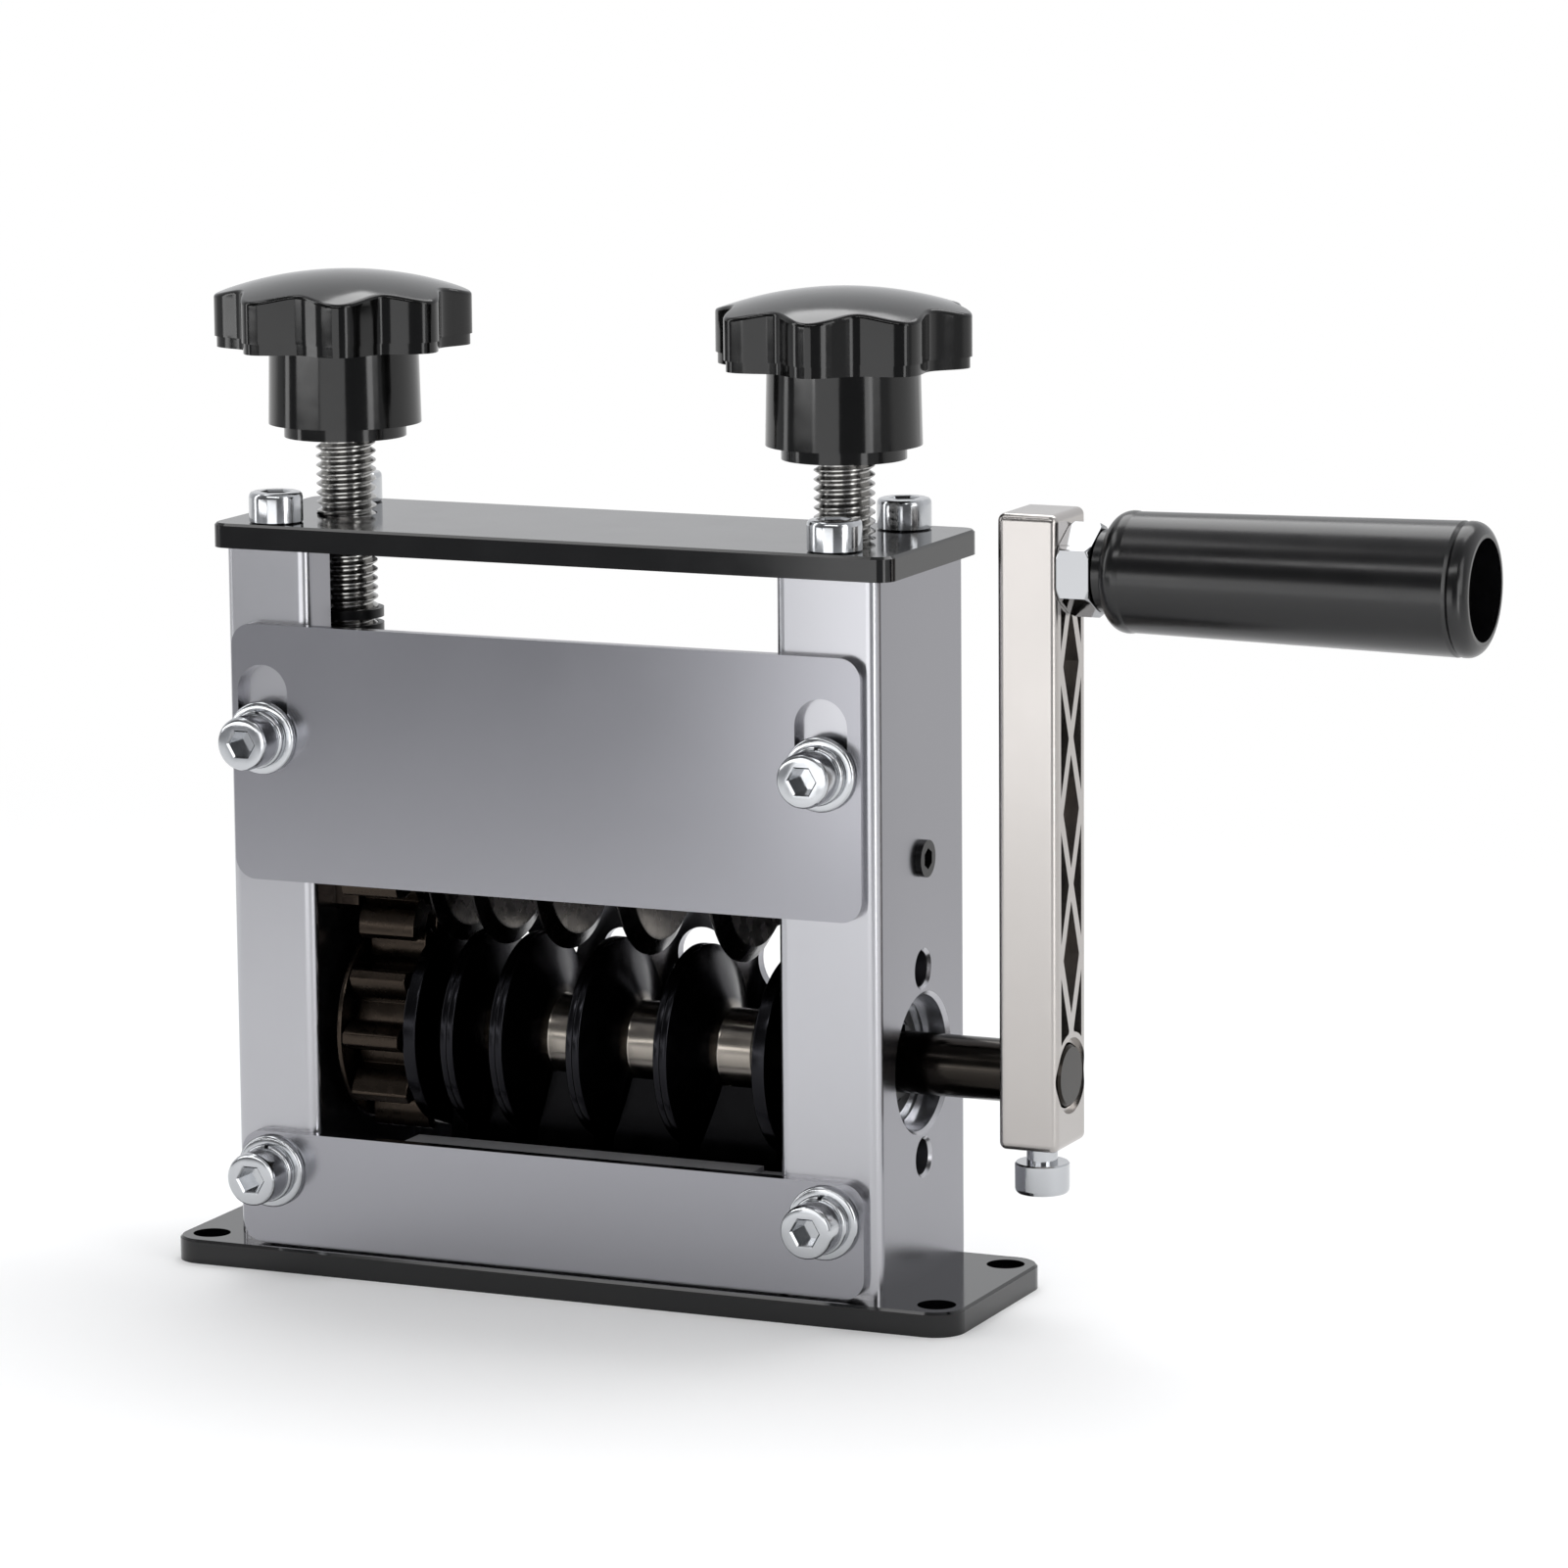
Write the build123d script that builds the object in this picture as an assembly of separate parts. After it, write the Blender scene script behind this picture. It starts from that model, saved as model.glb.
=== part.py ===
from build123d import *
from math import atan, cos, degrees, hypot, pi, radians, sin
import os

# Hand crank wire stripper: a grooved feed roller turned by a crank, and above it a shaft of
# round knives that two knobs press down. +X runs along the rollers to the crank, +Z is up and the
# wire leaves towards -Y. Millimetres. Solids are drawn about the middle of the frame and the
# roller axis, and put() moves them so that the origin is the middle of the base plate's underside.

# fits and clearances
running_gap = 0.06        # radial play of a shaft in its bearing
slide_gap = 0.2           # play of a sliding block or key in its slot
free_gap = 0.3            # smallest distance between two pieces that move past each other
bolt_play = 0.15          # radial play of a screw in a plain hole

# gears, 10 teeth each, in mesh at rest
gear_module = 3.0
gear_teeth = 10
pressure_angle = radians(25)
tooth_addendum = 2.5
tooth_dedendum = 3.3
gear_width = 10.0
tooth_backlash = 0.35
gear_front_gap = 0.5
gear_flange_r = 16.3      # thin guide disc on the drive gear's outer side
gear_flange_h = 0.8
gear_flange_gap = 0.8

# shafts
shaft_r = 5.0
shaft_z = 39.0
key_width = 3.0
key_height = 3.0
key_in_shaft = 1.8

# feed roller: five wheels side by side, each with a V-groove with a flat root
wheel_r = 16.5
wheel_land = 1.1
wheel_end_land = 2.2
wheel_boss = 0.5
wheel_boss_r = 9.0
groove_mouths = [4.6, 6.6, 11.6, 13.3, 15.1]
groove_roots = [1.6, 2.4, 4.5, 5.2, 6.0]
groove_root_rs = [8.0, 6.5, 6.5, 6.5, 6.5]

# knives
blade_reach = 2.0         # how far a knife dips below the wheel's rim
blade_thicknesses = [2.0, 2.4, 3.0, 3.4, 3.8]
blade_bevel = 2.6
blade_edge = 0.3
spacer_r = 8.0

# frame
upright_thick = 15.0
upright_height = 115.0
channel_depth = 8.0
crank_side_extra = 2.5    # the upright on the crank side is this much thicker, inwards
bearing_web = 4.0
left_gap = 4.5            # gear to the left upright
right_gap = 3.1           # last wheel to the right upright
base_thick = 4.0
base_left = 11.0          # how far the base stands out past the uprights
base_right = 14.0
base_front = 4.0
base_corner_r = 5.0
foot_hole_r = 3.1
foot_hole_in_x = 5.0
foot_hole_in_y = 5.5
edge_round = 1.8
plate_bevel = 0.4
rear_window_h = 17.0      # opening in an upright's rear wall behind the press screw
rear_window_top = 4.0

# top plate
top_thick = 4.0
top_over_x = 2.4
top_over_y = 1.0
top_corner_r = 3.0
top_screw_in_y = 4.0

# covers
cover_thick = 2.0
cover_in = 2.0            # how far a cover stops inside the upright's outer edge
cover_corner_r = 3.5
guard_height = 42.0
guard_below_cutter = 4.0  # from the knife axis down to the guard's lower edge
guard_slot_r = 4.5
guard_travel = 9.0
lower_cover_height = 18.7
bolt_above_edge = 12.5
guard_bolt_up = 23.5

# rear guide plate
guide_hole_rs = [2.25, 3.0, 3.5, 4.6, 6.5]
guide_over_bolt = 8.5     # rear plate, past its upper screws
guide_lift = 2.0
guide_line_up = 11.0      # wire line above the roller axis

# screws
screw_r = 2.5
screw_head_r = 4.4
screw_head_h = 5.0
screw_head_bevel = 0.3
screw_socket_af = 4.0
screw_socket_deep = 2.6
screw_bite = 7.0
split_width = 0.7         # cut of a spring washer
split_lean = 30
spring_washer_r = 4.75
spring_washer_h = 1.6
flat_washer_r = 6.0
flat_washer_h = 1.2
base_screw_bite = 8.0
base_screw_in_y = 10.0
countersink_r = 4.8
countersink_h = 2.4
small_socket_af = 3.0     # countersunk and grub screws
countersunk_socket_deep = 1.4
grub_socket_deep = 3.0
grub_r = 3.0
grub_up = 3.3             # above the knife axis
grub_proud = 1.0

# ball bearings of the drive shaft
bearing_r = 11.0
bearing_width = 6.0
bearing_wall = 1.8
bearing_seal = 0.8
circlip_h = 1.0
circlip_deep = 0.6
circlip_wall = 1.6
circlip_open = 3.0
snap_ring_open = 4.0
bore_bevel = 0.6
sleeve_r = 6.5
shaft_tail = 1.5
side_hole_r = 2.9
side_hole_deep = 6.0
side_hole_pitch = 30.7
side_hole_bevel = 0.5

# bearing blocks of the knife shaft
block_low = 10.0          # below and above the knife axis
block_high = 15.0
block_inward = 4.0        # how far a block stands out of its channel
bush_wall = 2.0
block_wall = 2.8          # beside the bush
block_bevel = 0.8
cutter_end_gap = 0.8
press_travel = 3.0

# press screws and knobs
press_in = 1.9            # press screw axis, inwards from half way across the channel's mouth
press_r = 4.9
press_neck_r = 3.2
press_neck_h = 2.5
press_foot_r = 4.4
press_foot_h = 3.0
knob_lift = 12.8
knob_collar_r = 10.0
knob_collar_h = 2.2
knob_hub_r = 12.5
knob_hub_top_r = 12.2
knob_hub_h = 12.6
knob_r = 21.0
knob_valley_r = 17.6
knob_lobes = 8
knob_outline_points = 4   # to each lobe
knob_rim_h = 8.5
knob_step_h = 1.8
knob_step_in = 0.35
knob_edge_round = 0.7
knob_dome_h = 3.8
knob_thread_deep = 11.0
knob_turns = [25.2, 7.4]
stop_ring_h = 1.5
stop_ring_gap = 1.0
stop_ring_drop = 11.5

# cross bar and scraper comb under the roller
bar_depth = 6.0
bar_below_cover = 0.2
bar_step = 3.0
bar_end = 5.2             # lower shoulder at the bar's crank end
bar_end_step = 0.8
bar_screw_share = 0.6     # screws of the bar and comb, as a share of half the inner width
comb_height = 14.0
comb_back = 8.0
comb_finger = 5.0
comb_gap = 0.8

# crank
arm_gap = 1.4
arm_thick = 10.0
arm_width = 13.0
arm_below = 11.5
arm_above = 9.1
crank_radius = 81.0
arm_bore_gap = 0.25
arm_skin = 2.0            # left behind the handle bolt's hole
arm_boss_r = 7.0
pocket_wall = 2.2
arm_mouth_r = 6.1         # step round the shaft end
arm_mouth_deep = 0.8
pocket_deep = 4.5
lattice_pitch = 23.4
lattice_rib = 1.8
lattice_up = 2.0          # lattice centre above the middle of the arm
arm_round = 1.2
clamp_screw_proud = 2.8

# handle
axle_r = 4.0
nut_af = 13.0
nut_h = 5.5
nut_face_r = 6.9          # round face and corner radius of the hexagon's chamfer
nut_corner_r = 7.5
nut_cone_h = 0.6
grip_length = 62.0
grip_neck_r = 6.5
grip_neck_h = 1.5
grip_small_r = 9.5
grip_big_r = 10.5
grip_shoulder = 4.0
grip_bead = 3.2
grip_bead_groove = 0.4
grip_bead_half = 0.5
grip_lip = 0.6
grip_end_round = 2.4
grip_recess_r = 8.0
grip_recess = 15.0
axle_head_r = 6.5
axle_head_h = 5.0
axle_socket_af = 5.0
axle_washer_h = 1.0

# sizes that follow from those above
base_top = base_thick
pitch_r = gear_module * gear_teeth / 2
gear_tip_r = pitch_r + tooth_addendum
gear_root_r = pitch_r - tooth_dedendum
axis_step = 2 * pitch_r
cutter_z = shaft_z + axis_step
blade_r = axis_step - wheel_r + blade_reach

wheel_lefts = [wheel_end_land] + [wheel_land] * 4
wheel_rights = [wheel_land] * 4 + [wheel_end_land]
wheel_widths = [a + m + b for a, m, b in zip(wheel_lefts, groove_mouths, wheel_rights)]
stack_width = left_gap + gear_width + wheel_boss + sum(wheel_widths) + right_gap
inner_x = (stack_width + crank_side_extra) / 2
outer_x = inner_x + upright_thick
crank_inner_x = inner_x - crank_side_extra
left_middle = (inner_x + outer_x) / 2
right_middle = (crank_inner_x + outer_x) / 2
upright_middles = (-left_middle, right_middle)
gear_x = -inner_x + left_gap
roller_x = gear_x + gear_width + wheel_boss
wheel_xs = [roller_x + sum(wheel_widths[:i]) for i in range(5)]
groove_xs = [x + a + m / 2 for x, a, m in zip(wheel_xs, wheel_lefts, groove_mouths)]
roller_end = roller_x + sum(wheel_widths)

upright_depth = 2 * (gear_tip_r + gear_front_gap)
front_y = -upright_depth / 2
back_y = upright_depth / 2
upright_top = base_top + upright_height
top_z = upright_top + top_thick
base_x0 = -outer_x - base_left
base_x1 = outer_x + base_right
base_y0 = front_y - base_front
origin_x = -(base_x0 + base_x1) / 2
origin_y = -(base_y0 + back_y) / 2

cover_x = outer_x - cover_in
cover_y = front_y - cover_thick
lower_cover_z = base_top + free_gap
lower_cover_top = lower_cover_z + lower_cover_height
lower_bolt_z = base_top + bolt_above_edge
guard_z = cutter_z - guard_below_cutter
guard_bolt_z = guard_z + guard_bolt_up
guide_z = base_top + guide_lift
guide_top = guard_bolt_z + guide_over_bolt
guide_line_z = shaft_z + guide_line_up

bearing_in = inner_x + bearing_web
bearing_out = bearing_in + bearing_width
bearing_inner_r = shaft_r + bearing_wall
bearing_outer_r = bearing_r - bearing_wall

channel_x = inner_x + channel_depth
block_z0 = cutter_z - block_low
block_z1 = cutter_z + block_high
block_x0 = inner_x - block_inward
block_x1 = channel_x - slide_gap
bush_r = shaft_r + bush_wall
block_half = bush_r + block_wall
channel_half = block_half + slide_gap
channel_z = block_z0 - free_gap

press_x = inner_x + press_in
press_foot_z = block_z1 - press_neck_h - press_foot_h
knob_z = top_z + knob_lift
hub_z = knob_z + knob_collar_h
rim_z = hub_z + knob_hub_h
stop_ring_z = upright_top - stop_ring_drop
stop_ring_r = channel_x - press_x - free_gap

bar_back = front_y + bar_depth
bar_top = lower_cover_top - bar_below_cover
comb_top = base_top + comb_height

arm_x0 = base_x1 + arm_gap
arm_x1 = arm_x0 + arm_thick
arm_z0 = shaft_z - arm_below
handle_z = shaft_z + crank_radius
arm_z1 = handle_z + arm_above
nut_x1 = arm_x1 + nut_h
grip_x0 = nut_x1 + free_gap
grip_x1 = grip_x0 + grip_length
recess_x = grip_x1 - grip_recess
axle_head_x = recess_x + free_gap + axle_washer_h

LOW = (Align.CENTER, Align.CENTER, Align.MIN)


def put(name, *solids):
    """Write one node, moved so that the origin is the middle of the base plate's underside."""
    shape = solids[0] if len(solids) == 1 else Compound(list(solids))
    export_step(Pos(origin_x, origin_y, 0) * shape, f"parts/{name}.step")


def block(x0, x1, y0, y1, z0, z1):
    return Pos((x0 + x1) / 2, (y0 + y1) / 2, (z0 + z1) / 2) * Box(x1 - x0, y1 - y0, z1 - z0)


def rod_x(r, x0, x1, y=0, z=0):
    return Pos(x0, y, z) * Rot(0, 90, 0) * Cylinder(r, x1 - x0, align=LOW)


def rod_y(r, y0, y1, x=0, z=0):
    return Pos(x, y0, z) * Rot(-90, 0, 0) * Cylinder(r, y1 - y0, align=LOW)


def rod_z(r, z0, z1, x=0, y=0):
    return Pos(x, y, z0) * Cylinder(r, z1 - z0, align=LOW)


def ring_x(outer, inner, x0, x1, z):
    return rod_x(outer, x0, x1, z=z) - rod_x(inner, x0 - 1, x1 + 1, z=z)


def turned_x(points, z):
    """A turned piece on an axis along X: (x, radius) points of its half section."""
    section = make_face(Polyline([(x, 0, r) for x, r in points], close=True))
    return Pos(0, 0, z) * revolve(section, Axis.X)


def turned_z(points, x=0):
    section = make_face(Polyline([(r, 0, z) for r, z in points], close=True))
    return Pos(x, 0, 0) * revolve(section, Axis.Z)


def plate_xy(x0, x1, y0, y1, z0, thick, corner_r):
    outline = Pos((x0 + x1) / 2, (y0 + y1) / 2) * RectangleRounded(x1 - x0, y1 - y0, corner_r)
    return Pos(0, 0, z0) * extrude(outline, thick)


def plate_xz(half_x, z0, z1, y0, thick, corner_r):
    """A sheet standing in the XZ plane, from y0 back to y0 + thick."""
    outline = RectangleRounded(2 * half_x, z1 - z0, corner_r)
    return Pos(0, y0 + thick, (z0 + z1) / 2) * Rot(90, 0, 0) * extrude(outline, thick)


def both_sides(shape):
    return [mirror(shape, Plane.YZ), shape]


# ---------------------------------------------------------------- screws and washers

def cap_screw(length, r=screw_r, head_r=screw_head_r, head_h=screw_head_h, af=screw_socket_af):
    """A socket head screw along Z with the underside of its head at z = 0."""
    head = Cylinder(head_r, head_h, align=LOW)
    head = chamfer(head.edges().group_by(Axis.Z)[-1], screw_head_bevel)
    socket = RegularPolygon(af / 2, 6, major_radius=False)
    head -= Pos(0, 0, head_h - screw_socket_deep) * extrude(socket, screw_socket_deep)
    return head + Pos(0, 0, -length) * Cylinder(r, length, align=LOW)


def countersunk_screw(length):
    """Head flush at z = 0, point upwards."""
    head = Cone(countersink_r, screw_r, countersink_h, align=LOW)
    socket = RegularPolygon(small_socket_af / 2, 6, major_radius=False)
    return head + Cylinder(screw_r, length, align=LOW) - extrude(socket, countersunk_socket_deep)


def spring_washer():
    ring = Cylinder(spring_washer_r, spring_washer_h, align=LOW)
    ring -= Cylinder(screw_r + bolt_play, spring_washer_h, align=LOW)
    cut = Box(2 * spring_washer_r, split_width, 3 * spring_washer_r)
    split = Pos(spring_washer_r + screw_r / 2, 0, spring_washer_h / 2) * Rot(split_lean, 0, 0) * cut
    return ring - split


def flat_washer():
    ring = Cylinder(flat_washer_r, flat_washer_h, align=LOW)
    return ring - Cylinder(screw_r + bolt_play, flat_washer_h, align=LOW)


def front_stack(z):
    """Cover screw, spring washer and flat washer, as three lists of left and right solids."""
    face = -(cover_y)
    stack = [
        (flat_washer(), face),
        (spring_washer(), face + flat_washer_h),
        (cap_screw(flat_washer_h + spring_washer_h + cover_thick + screw_bite),
         face + flat_washer_h + spring_washer_h),
    ]
    placed = []
    for shape, out in stack:
        placed.append([Pos(x, -out, z) * Rot(90, 0, 0) * shape for x in upright_middles])
    return placed


# ---------------------------------------------------------------- frame

def base_plate():
    plate = plate_xy(base_x0, base_x1, base_y0, back_y, 0, base_thick, base_corner_r)
    plate = chamfer(plate.edges().group_by(Axis.Z)[-1], plate_bevel)
    for x in (base_x0 + foot_hole_in_x, base_x1 - foot_hole_in_x):
        for y in (base_y0 + foot_hole_in_y, back_y - foot_hole_in_y):
            plate -= rod_z(foot_hole_r, -1, base_thick + 1, x, y)
    for x, y in base_screw_places() + comb_screw_places():
        plate -= rod_z(screw_r + bolt_play, 0, base_thick, x, y)
        plate -= Pos(x, y, 0) * Cone(countersink_r + bolt_play, screw_r, countersink_h, align=LOW)
    return plate


def base_screw_places():
    return [(x, side * (back_y - base_screw_in_y)) for x in upright_middles for side in (-1, 1)]


def comb_screw_places():
    bar_y = (front_y + bar_back) / 2
    comb_y = comb_back / 2
    x = inner_x * bar_screw_share
    return [(sx * x, y) for sx in (-1, 1) for y in (bar_y, comb_y)]


def bevelled_mouth(r, bevel, z):
    """Cone that bevels the mouth of a hole in an upright's outer face."""
    return Pos(outer_x - bevel, 0, z) * Rot(0, 90, 0) * Cone(r, r + bevel, bevel, align=LOW)


def upright(inside):
    """Right-hand upright from x = inside outwards; the left one is a mirror image."""
    post = block(inside, outer_x, front_y, back_y, base_top, upright_top)
    post = fillet(post.edges().filter_by(Axis.Z), edge_round)
    post -= block(inside - 1, channel_x, -channel_half, channel_half, channel_z, upright_top + 1)
    window_top = upright_top - rear_window_top
    post -= block(inside - 1, channel_x, 0, back_y + 1, window_top - rear_window_h, window_top)
    post -= rod_x(bearing_r, bearing_in, outer_x + 1, z=shaft_z)
    post -= bevelled_mouth(bearing_r, bore_bevel, shaft_z)
    post -= rod_x(sleeve_r + 1, inside - 1, outer_x, z=shaft_z)
    post -= ring_x(bearing_r + circlip_deep, bearing_r - 1, bearing_out, bearing_out + circlip_h, shaft_z)
    post -= rod_x(grub_r, channel_x - 1, outer_x + 1, z=cutter_z + grub_up)
    for side in (-1, 1):
        hole_z = shaft_z + side * side_hole_pitch / 2
        post -= rod_x(side_hole_r, outer_x - side_hole_deep, outer_x + 1, z=hole_z)
        post -= bevelled_mouth(side_hole_r, side_hole_bevel, hole_z)
        middle_x = (inside + outer_x) / 2
        top_y = side * (back_y - top_screw_in_y)
        base_y = side * (back_y - base_screw_in_y)
        post -= rod_z(screw_r, upright_top - screw_bite, upright_top + 1, middle_x, top_y)
        post -= rod_z(screw_r, base_top - 1, base_top + base_screw_bite, middle_x, base_y)
        for z in (lower_bolt_z, guard_bolt_z):
            bite_y = side * (back_y - screw_bite)
            ends = sorted((bite_y, side * (back_y + 1)))
            post -= rod_y(screw_r, ends[0], ends[1], middle_x, z)
    return post


def top_plate():
    half_y = back_y + top_over_y
    plate = plate_xy(-outer_x - top_over_x, outer_x + top_over_x, -half_y, half_y,
                     upright_top, top_thick, top_corner_r)
    plate = chamfer(plate.edges().group_by(Axis.Z)[-1], plate_bevel)
    for x in (-press_x, press_x):
        plate -= rod_z(press_r + running_gap, upright_top - 1, top_z + 1, x)
    for x in upright_middles:
        for y in (top_screw_in_y - back_y, back_y - top_screw_in_y):
            plate -= rod_z(screw_r + bolt_play, upright_top - 1, top_z + 1, x, y)
    return plate


def top_plate_screws():
    screws = []
    for x in upright_middles:
        for y in (top_screw_in_y - back_y, back_y - top_screw_in_y):
            screws.append(Pos(x, y, top_z) * cap_screw(top_thick + screw_bite))
    return screws


def lower_cover():
    sheet = plate_xz(cover_x, lower_cover_z, lower_cover_top, cover_y, cover_thick, cover_corner_r)
    for x in upright_middles:
        sheet -= rod_y(screw_r + bolt_play, cover_y - 1, front_y + 1, x, lower_bolt_z)
    return sheet


def upper_guard():
    """Sheet in front of the knives; two upright slots let it drop over the feed window."""
    sheet = plate_xz(cover_x, guard_z, guard_z + guard_height, cover_y, cover_thick, cover_corner_r)
    slack = guard_slot_r - screw_r - slide_gap
    slot_low = guard_bolt_z + slack
    slot_high = guard_bolt_z + guard_travel + slide_gap - slack
    for x in upright_middles:
        for z in (slot_low, slot_high):
            sheet -= rod_y(guard_slot_r, cover_y - 1, front_y + 1, x, z)
        sheet -= block(x - guard_slot_r, x + guard_slot_r, cover_y - 1, front_y + 1, slot_low, slot_high)
    return sheet


def rear_guide_plate():
    """Infeed plate with one guide hole behind each groove, small to large."""
    sheet = plate_xz(cover_x, guide_z, guide_top, back_y, cover_thick, cover_corner_r)
    for x, r in zip(groove_xs, guide_hole_rs):
        sheet -= rod_y(r, back_y - 1, back_y + cover_thick + 1, x, guide_line_z)
    for x in upright_middles:
        for z in (lower_bolt_z, guard_bolt_z):
            sheet -= rod_y(screw_r + bolt_play, back_y - 1, back_y + cover_thick + 1, x, z)
    return sheet


def rear_plate_screws():
    screw = cap_screw(cover_thick + screw_bite)
    places = [(x, z) for x in upright_middles for z in (lower_bolt_z, guard_bolt_z)]
    return [Pos(x, back_y + cover_thick, z) * Rot(-90, 0, 0) * screw for x, z in places]


def cross_bar():
    """Bar behind the lower cover, with a slanted step before the gear and a low shoulder."""
    step_x = roller_x + wheel_boss
    shoulder_x = crank_inner_x - bar_end
    bar = block(-inner_x, crank_inner_x, front_y, bar_back, base_top, bar_top)
    bar -= block(shoulder_x, crank_inner_x, front_y, bar_back, bar_top - bar_end_step, bar_top)
    step = make_face(Polyline([
        (-inner_x, front_y, bar_top - bar_step), (step_x - bar_step, front_y, bar_top - bar_step),
        (step_x, front_y, bar_top), (-inner_x, front_y, bar_top)], close=True))
    bar -= extrude(step, amount=bar_depth, dir=(0, 1, 0))
    return tapped_from_below(bar)


def tapped_from_below(shape):
    """Cut the tapped holes of the screws that hold the cross bar and the comb."""
    for x, y in comb_screw_places():
        shape -= rod_z(screw_r, base_top - 1, base_top + base_screw_bite, x, y)
    return shape


def groove_section(i, gap):
    """Half section (x, radius) of what fills groove i, kept gap away from the wheel."""
    root = groove_roots[i] / 2 - gap / 3
    mouth = groove_mouths[i] / 2 - gap
    low_r = groove_root_rs[i] + gap
    far_r = hypot(shaft_z - comb_top, comb_finger) + 1
    half = [(mouth, far_r), (mouth, wheel_r), (root, low_r)]
    left = [(groove_xs[i] - w, r) for w, r in half]
    right = [(groove_xs[i] + w, r) for w, r in reversed(half)]
    return left + right


def scraper_comb():
    """Block on the base plate with a finger in each groove that clears out cut insulation."""
    comb = block(roller_x, roller_end, bar_back + free_gap, comb_back, base_top, comb_top)
    reach = block(roller_x, roller_end, -comb_finger, comb_finger, comb_top - 1, shaft_z)
    for i in range(5):
        comb += turned_x(groove_section(i, comb_gap), shaft_z) & reach
    return tapped_from_below(comb)


def grub_screws():
    screw = rod_x(grub_r, block_x1 + free_gap, outer_x + grub_proud, z=cutter_z + grub_up)
    socket = Pos(outer_x + grub_proud, 0, cutter_z + grub_up) * Rot(0, -90, 0)
    hexagon = RegularPolygon(small_socket_af / 2, 6, major_radius=False)
    screw -= socket * extrude(hexagon, grub_socket_deep)
    return both_sides(screw)


def bearing_outer_rings():
    return both_sides(ring_x(bearing_r, bearing_outer_r, bearing_in, bearing_out, shaft_z))


def bearing_inner_rings():
    return both_sides(ring_x(bearing_inner_r, shaft_r, bearing_in, bearing_out, shaft_z))


def bearing_seals():
    seals = []
    seal_r = bearing_inner_r + free_gap
    for x in (bearing_in, bearing_out - bearing_seal):
        seals += both_sides(ring_x(bearing_outer_r, seal_r, x, x + bearing_seal, shaft_z))
    return seals


def bore_circlips():
    """Retaining rings in the bearing bores, open at the bottom."""
    outer = bearing_r + circlip_deep
    clip = ring_x(outer, outer - circlip_wall, bearing_out, bearing_out + circlip_h, shaft_z)
    half = circlip_open / 2
    clip -= block(bearing_out - 1, bearing_out + 2, -half, half, shaft_z - 2 * outer, shaft_z)
    return both_sides(clip)


# ---------------------------------------------------------------- shafts and what turns on them

def keyed(shape, x0, x1, z):
    """Cut the bore and keyway of a piece that sits on a shaft."""
    shape -= rod_x(shaft_r, x0 - 1, x1 + 1, z=z)
    key_top = z + shaft_r - key_in_shaft + key_height
    return shape - block(x0 - 1, x1 + 1, -key_width / 2, key_width / 2, z, key_top)


def shaft_key(x0, x1, z):
    key_z = z + shaft_r - key_in_shaft
    return block(x0, x1, -key_width / 2, key_width / 2, key_z, key_z + key_height)


def gear(turn):
    """Involute spur gear about X, with the flank drawn as an arc through three involute points."""
    base_r = pitch_r * cos(pressure_angle)
    half_tooth = (pi * gear_module / 2 - tooth_backlash) / (2 * pitch_r)

    def roll(r):
        slope = (r * r / base_r ** 2 - 1) ** 0.5
        return slope - atan(slope)

    half_base = half_tooth + roll(pitch_r)
    edges = []
    for k in range(gear_teeth):
        mid = radians(turn) + 2 * pi * k / gear_teeth

        def at(r, angle):
            return (0, r * cos(mid + angle), r * sin(mid + angle))

        radii = [base_r, (base_r + gear_tip_r) / 2, gear_tip_r]
        low = [at(r, -(half_base - roll(r))) for r in radii]
        high = [at(r, half_base - roll(r)) for r in radii]
        edges.append(Line(at(gear_root_r, -half_base), low[0]))
        edges.append(ThreePointArc(*low))
        edges.append(ThreePointArc(low[2], at(gear_tip_r, 0), high[2]))
        edges.append(ThreePointArc(*reversed(high)))
        edges.append(Line(high[0], at(gear_root_r, half_base)))
        step = pi / gear_teeth
        edges.append(ThreePointArc(at(gear_root_r, half_base), at(gear_root_r, step),
                                   at(gear_root_r, 2 * step - half_base)))
    return extrude(make_face(edges), amount=gear_width, dir=(1, 0, 0))


def placed_gear(turn, z):
    wheel = Pos(gear_x, 0, z) * gear(turn)
    return keyed(wheel, gear_x, gear_x + gear_width, z)


def flanged_drive_gear():
    """The roller's gear, with a thin disc on its outer side that keeps wire off the bearing."""
    low_x = gear_x - gear_flange_gap
    disc = ring_x(gear_flange_r, shaft_r, low_x - gear_flange_h, low_x, shaft_z)
    return placed_gear(180, shaft_z) + disc + ring_x(wheel_boss_r, shaft_r, low_x, gear_x, shaft_z)


def feed_wheel(i):
    x0 = wheel_xs[i]
    x1 = x0 + wheel_widths[i]
    mouth = groove_mouths[i] / 2
    root = groove_roots[i] / 2
    section = [(x0, 0), (x0, wheel_r), (groove_xs[i] - mouth, wheel_r),
               (groove_xs[i] - root, groove_root_rs[i]), (groove_xs[i] + root, groove_root_rs[i]),
               (groove_xs[i] + mouth, wheel_r), (x1, wheel_r), (x1, 0)]
    wheel = turned_x(section, shaft_z)
    if i == 0:
        wheel += rod_x(wheel_boss_r, x0 - wheel_boss, x0, z=shaft_z)
    return keyed(wheel, x0 - wheel_boss, x1, shaft_z)


def drive_shaft():
    x0 = -bearing_out - circlip_h - shaft_tail
    shaft = rod_x(shaft_r, x0, arm_x1, z=shaft_z)
    shaft = chamfer(shaft.edges(), plate_bevel)
    shaft -= shaft_key(gear_x, roller_end, shaft_z)
    for groove in both_sides(drive_circlip(0)):
        shaft -= groove
    return shaft


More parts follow.
